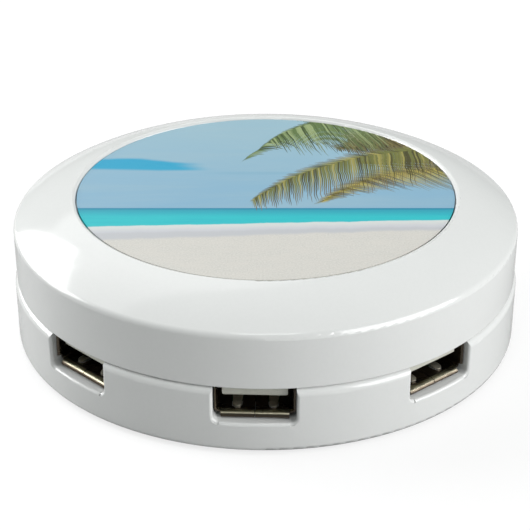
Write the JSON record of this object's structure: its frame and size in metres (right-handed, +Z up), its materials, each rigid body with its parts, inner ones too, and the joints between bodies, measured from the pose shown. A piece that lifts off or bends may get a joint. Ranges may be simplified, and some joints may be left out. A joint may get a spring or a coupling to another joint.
{
  "type": "usb hub",
  "caption": "Round white desktop USB hub with type A sockets in pockets at the front, a picture disc sunk in its top and a small inlet at the back.",
  "frame": {"origin": "middle of the footprint, on the surface that the feet stand on", "axes": "+Z up through the picture disc; -Y out of the middle front socket; +Y out of the inlet"},
  "size_m": [0.0928, 0.0928, 0.0264],
  "materials": {
    "casing_white": "gloss",
    "picture_print": "satin print",
    "adhesive_film": "matte",
    "socket_metal": "bright nickel plate",
    "tongue_white": "satin",
    "contact_gold": "gold flash",
    "spring_metal": "bright nickel plate",
    "inlet_metal": "bright nickel plate",
    "inlet_black": "satin",
    "board_green": "solder mask gloss",
    "chip_black": "matte moulded epoxy",
    "tinned_pins": "tinned",
    "crystal_can": "drawn can",
    "fuse_green": "satin",
    "capacitor_can": "satin can",
    "ceramic_tan": "matte",
    "resistor_black": "matte",
    "screw_steel": "zinc plate",
    "foot_rubber": "matte"
  },
  "bodies": {
    "hub": {"top_cover": "casing_white", "picture_disc": "picture_print", "adhesive_disc": "adhesive_film", "base_shell": "casing_white", "circuit_board": "board_green", "inlet_shell": "inlet_metal", "inlet_insulator": "inlet_black", "inlet_contacts": "contact_gold", "hub_chip": "chip_black", "chip_pins": "tinned_pins", "crystal": "crystal_can", "regulator": "chip_black", "port_fuses": "fuse_green", "electrolytic_capacitors": "capacitor_can", "ceramic_capacitors": "ceramic_tan", "chip_resistors": "resistor_black", "board_screws": "screw_steel", "case_screws": "screw_steel", "rubber_feet": "foot_rubber", "socket_shell_left": "socket_metal", "socket_insulator_left": "tongue_white", "socket_contacts_left": "contact_gold", "socket_shell_front": "socket_metal", "socket_insulator_front": "tongue_white", "socket_contacts_front": "contact_gold", "socket_shell_right": "socket_metal", "socket_insulator_right": "tongue_white", "socket_contacts_right": "contact_gold"},
    "springs_left": {"leaf_springs_left": "spring_metal"},
    "springs_front": {"leaf_springs_front": "spring_metal"},
    "springs_right": {"leaf_springs_right": "spring_metal"}
  },
  "joints": [
    {"name": "leaf_flex_left", "type": "hinge", "parent": "hub", "child": "springs_left", "pos_m": [-0.02332, -0.0259, 0.0069], "axis": [0.7431, -0.6691, 0], "range_deg": [0, 3.8], "stiffness_Nm_per_rad": 0.02},
    {"name": "leaf_flex_front", "type": "hinge", "parent": "hub", "child": "springs_front", "pos_m": [0, -0.03485, 0.0069], "axis": [1, 0, 0], "range_deg": [0, 3.8], "stiffness_Nm_per_rad": 0.02},
    {"name": "leaf_flex_right", "type": "hinge", "parent": "hub", "child": "springs_right", "pos_m": [0.02332, -0.0259, 0.0069], "axis": [0.7431, 0.6691, 0], "range_deg": [0, 3.8], "stiffness_Nm_per_rad": 0.02}
  ]
}
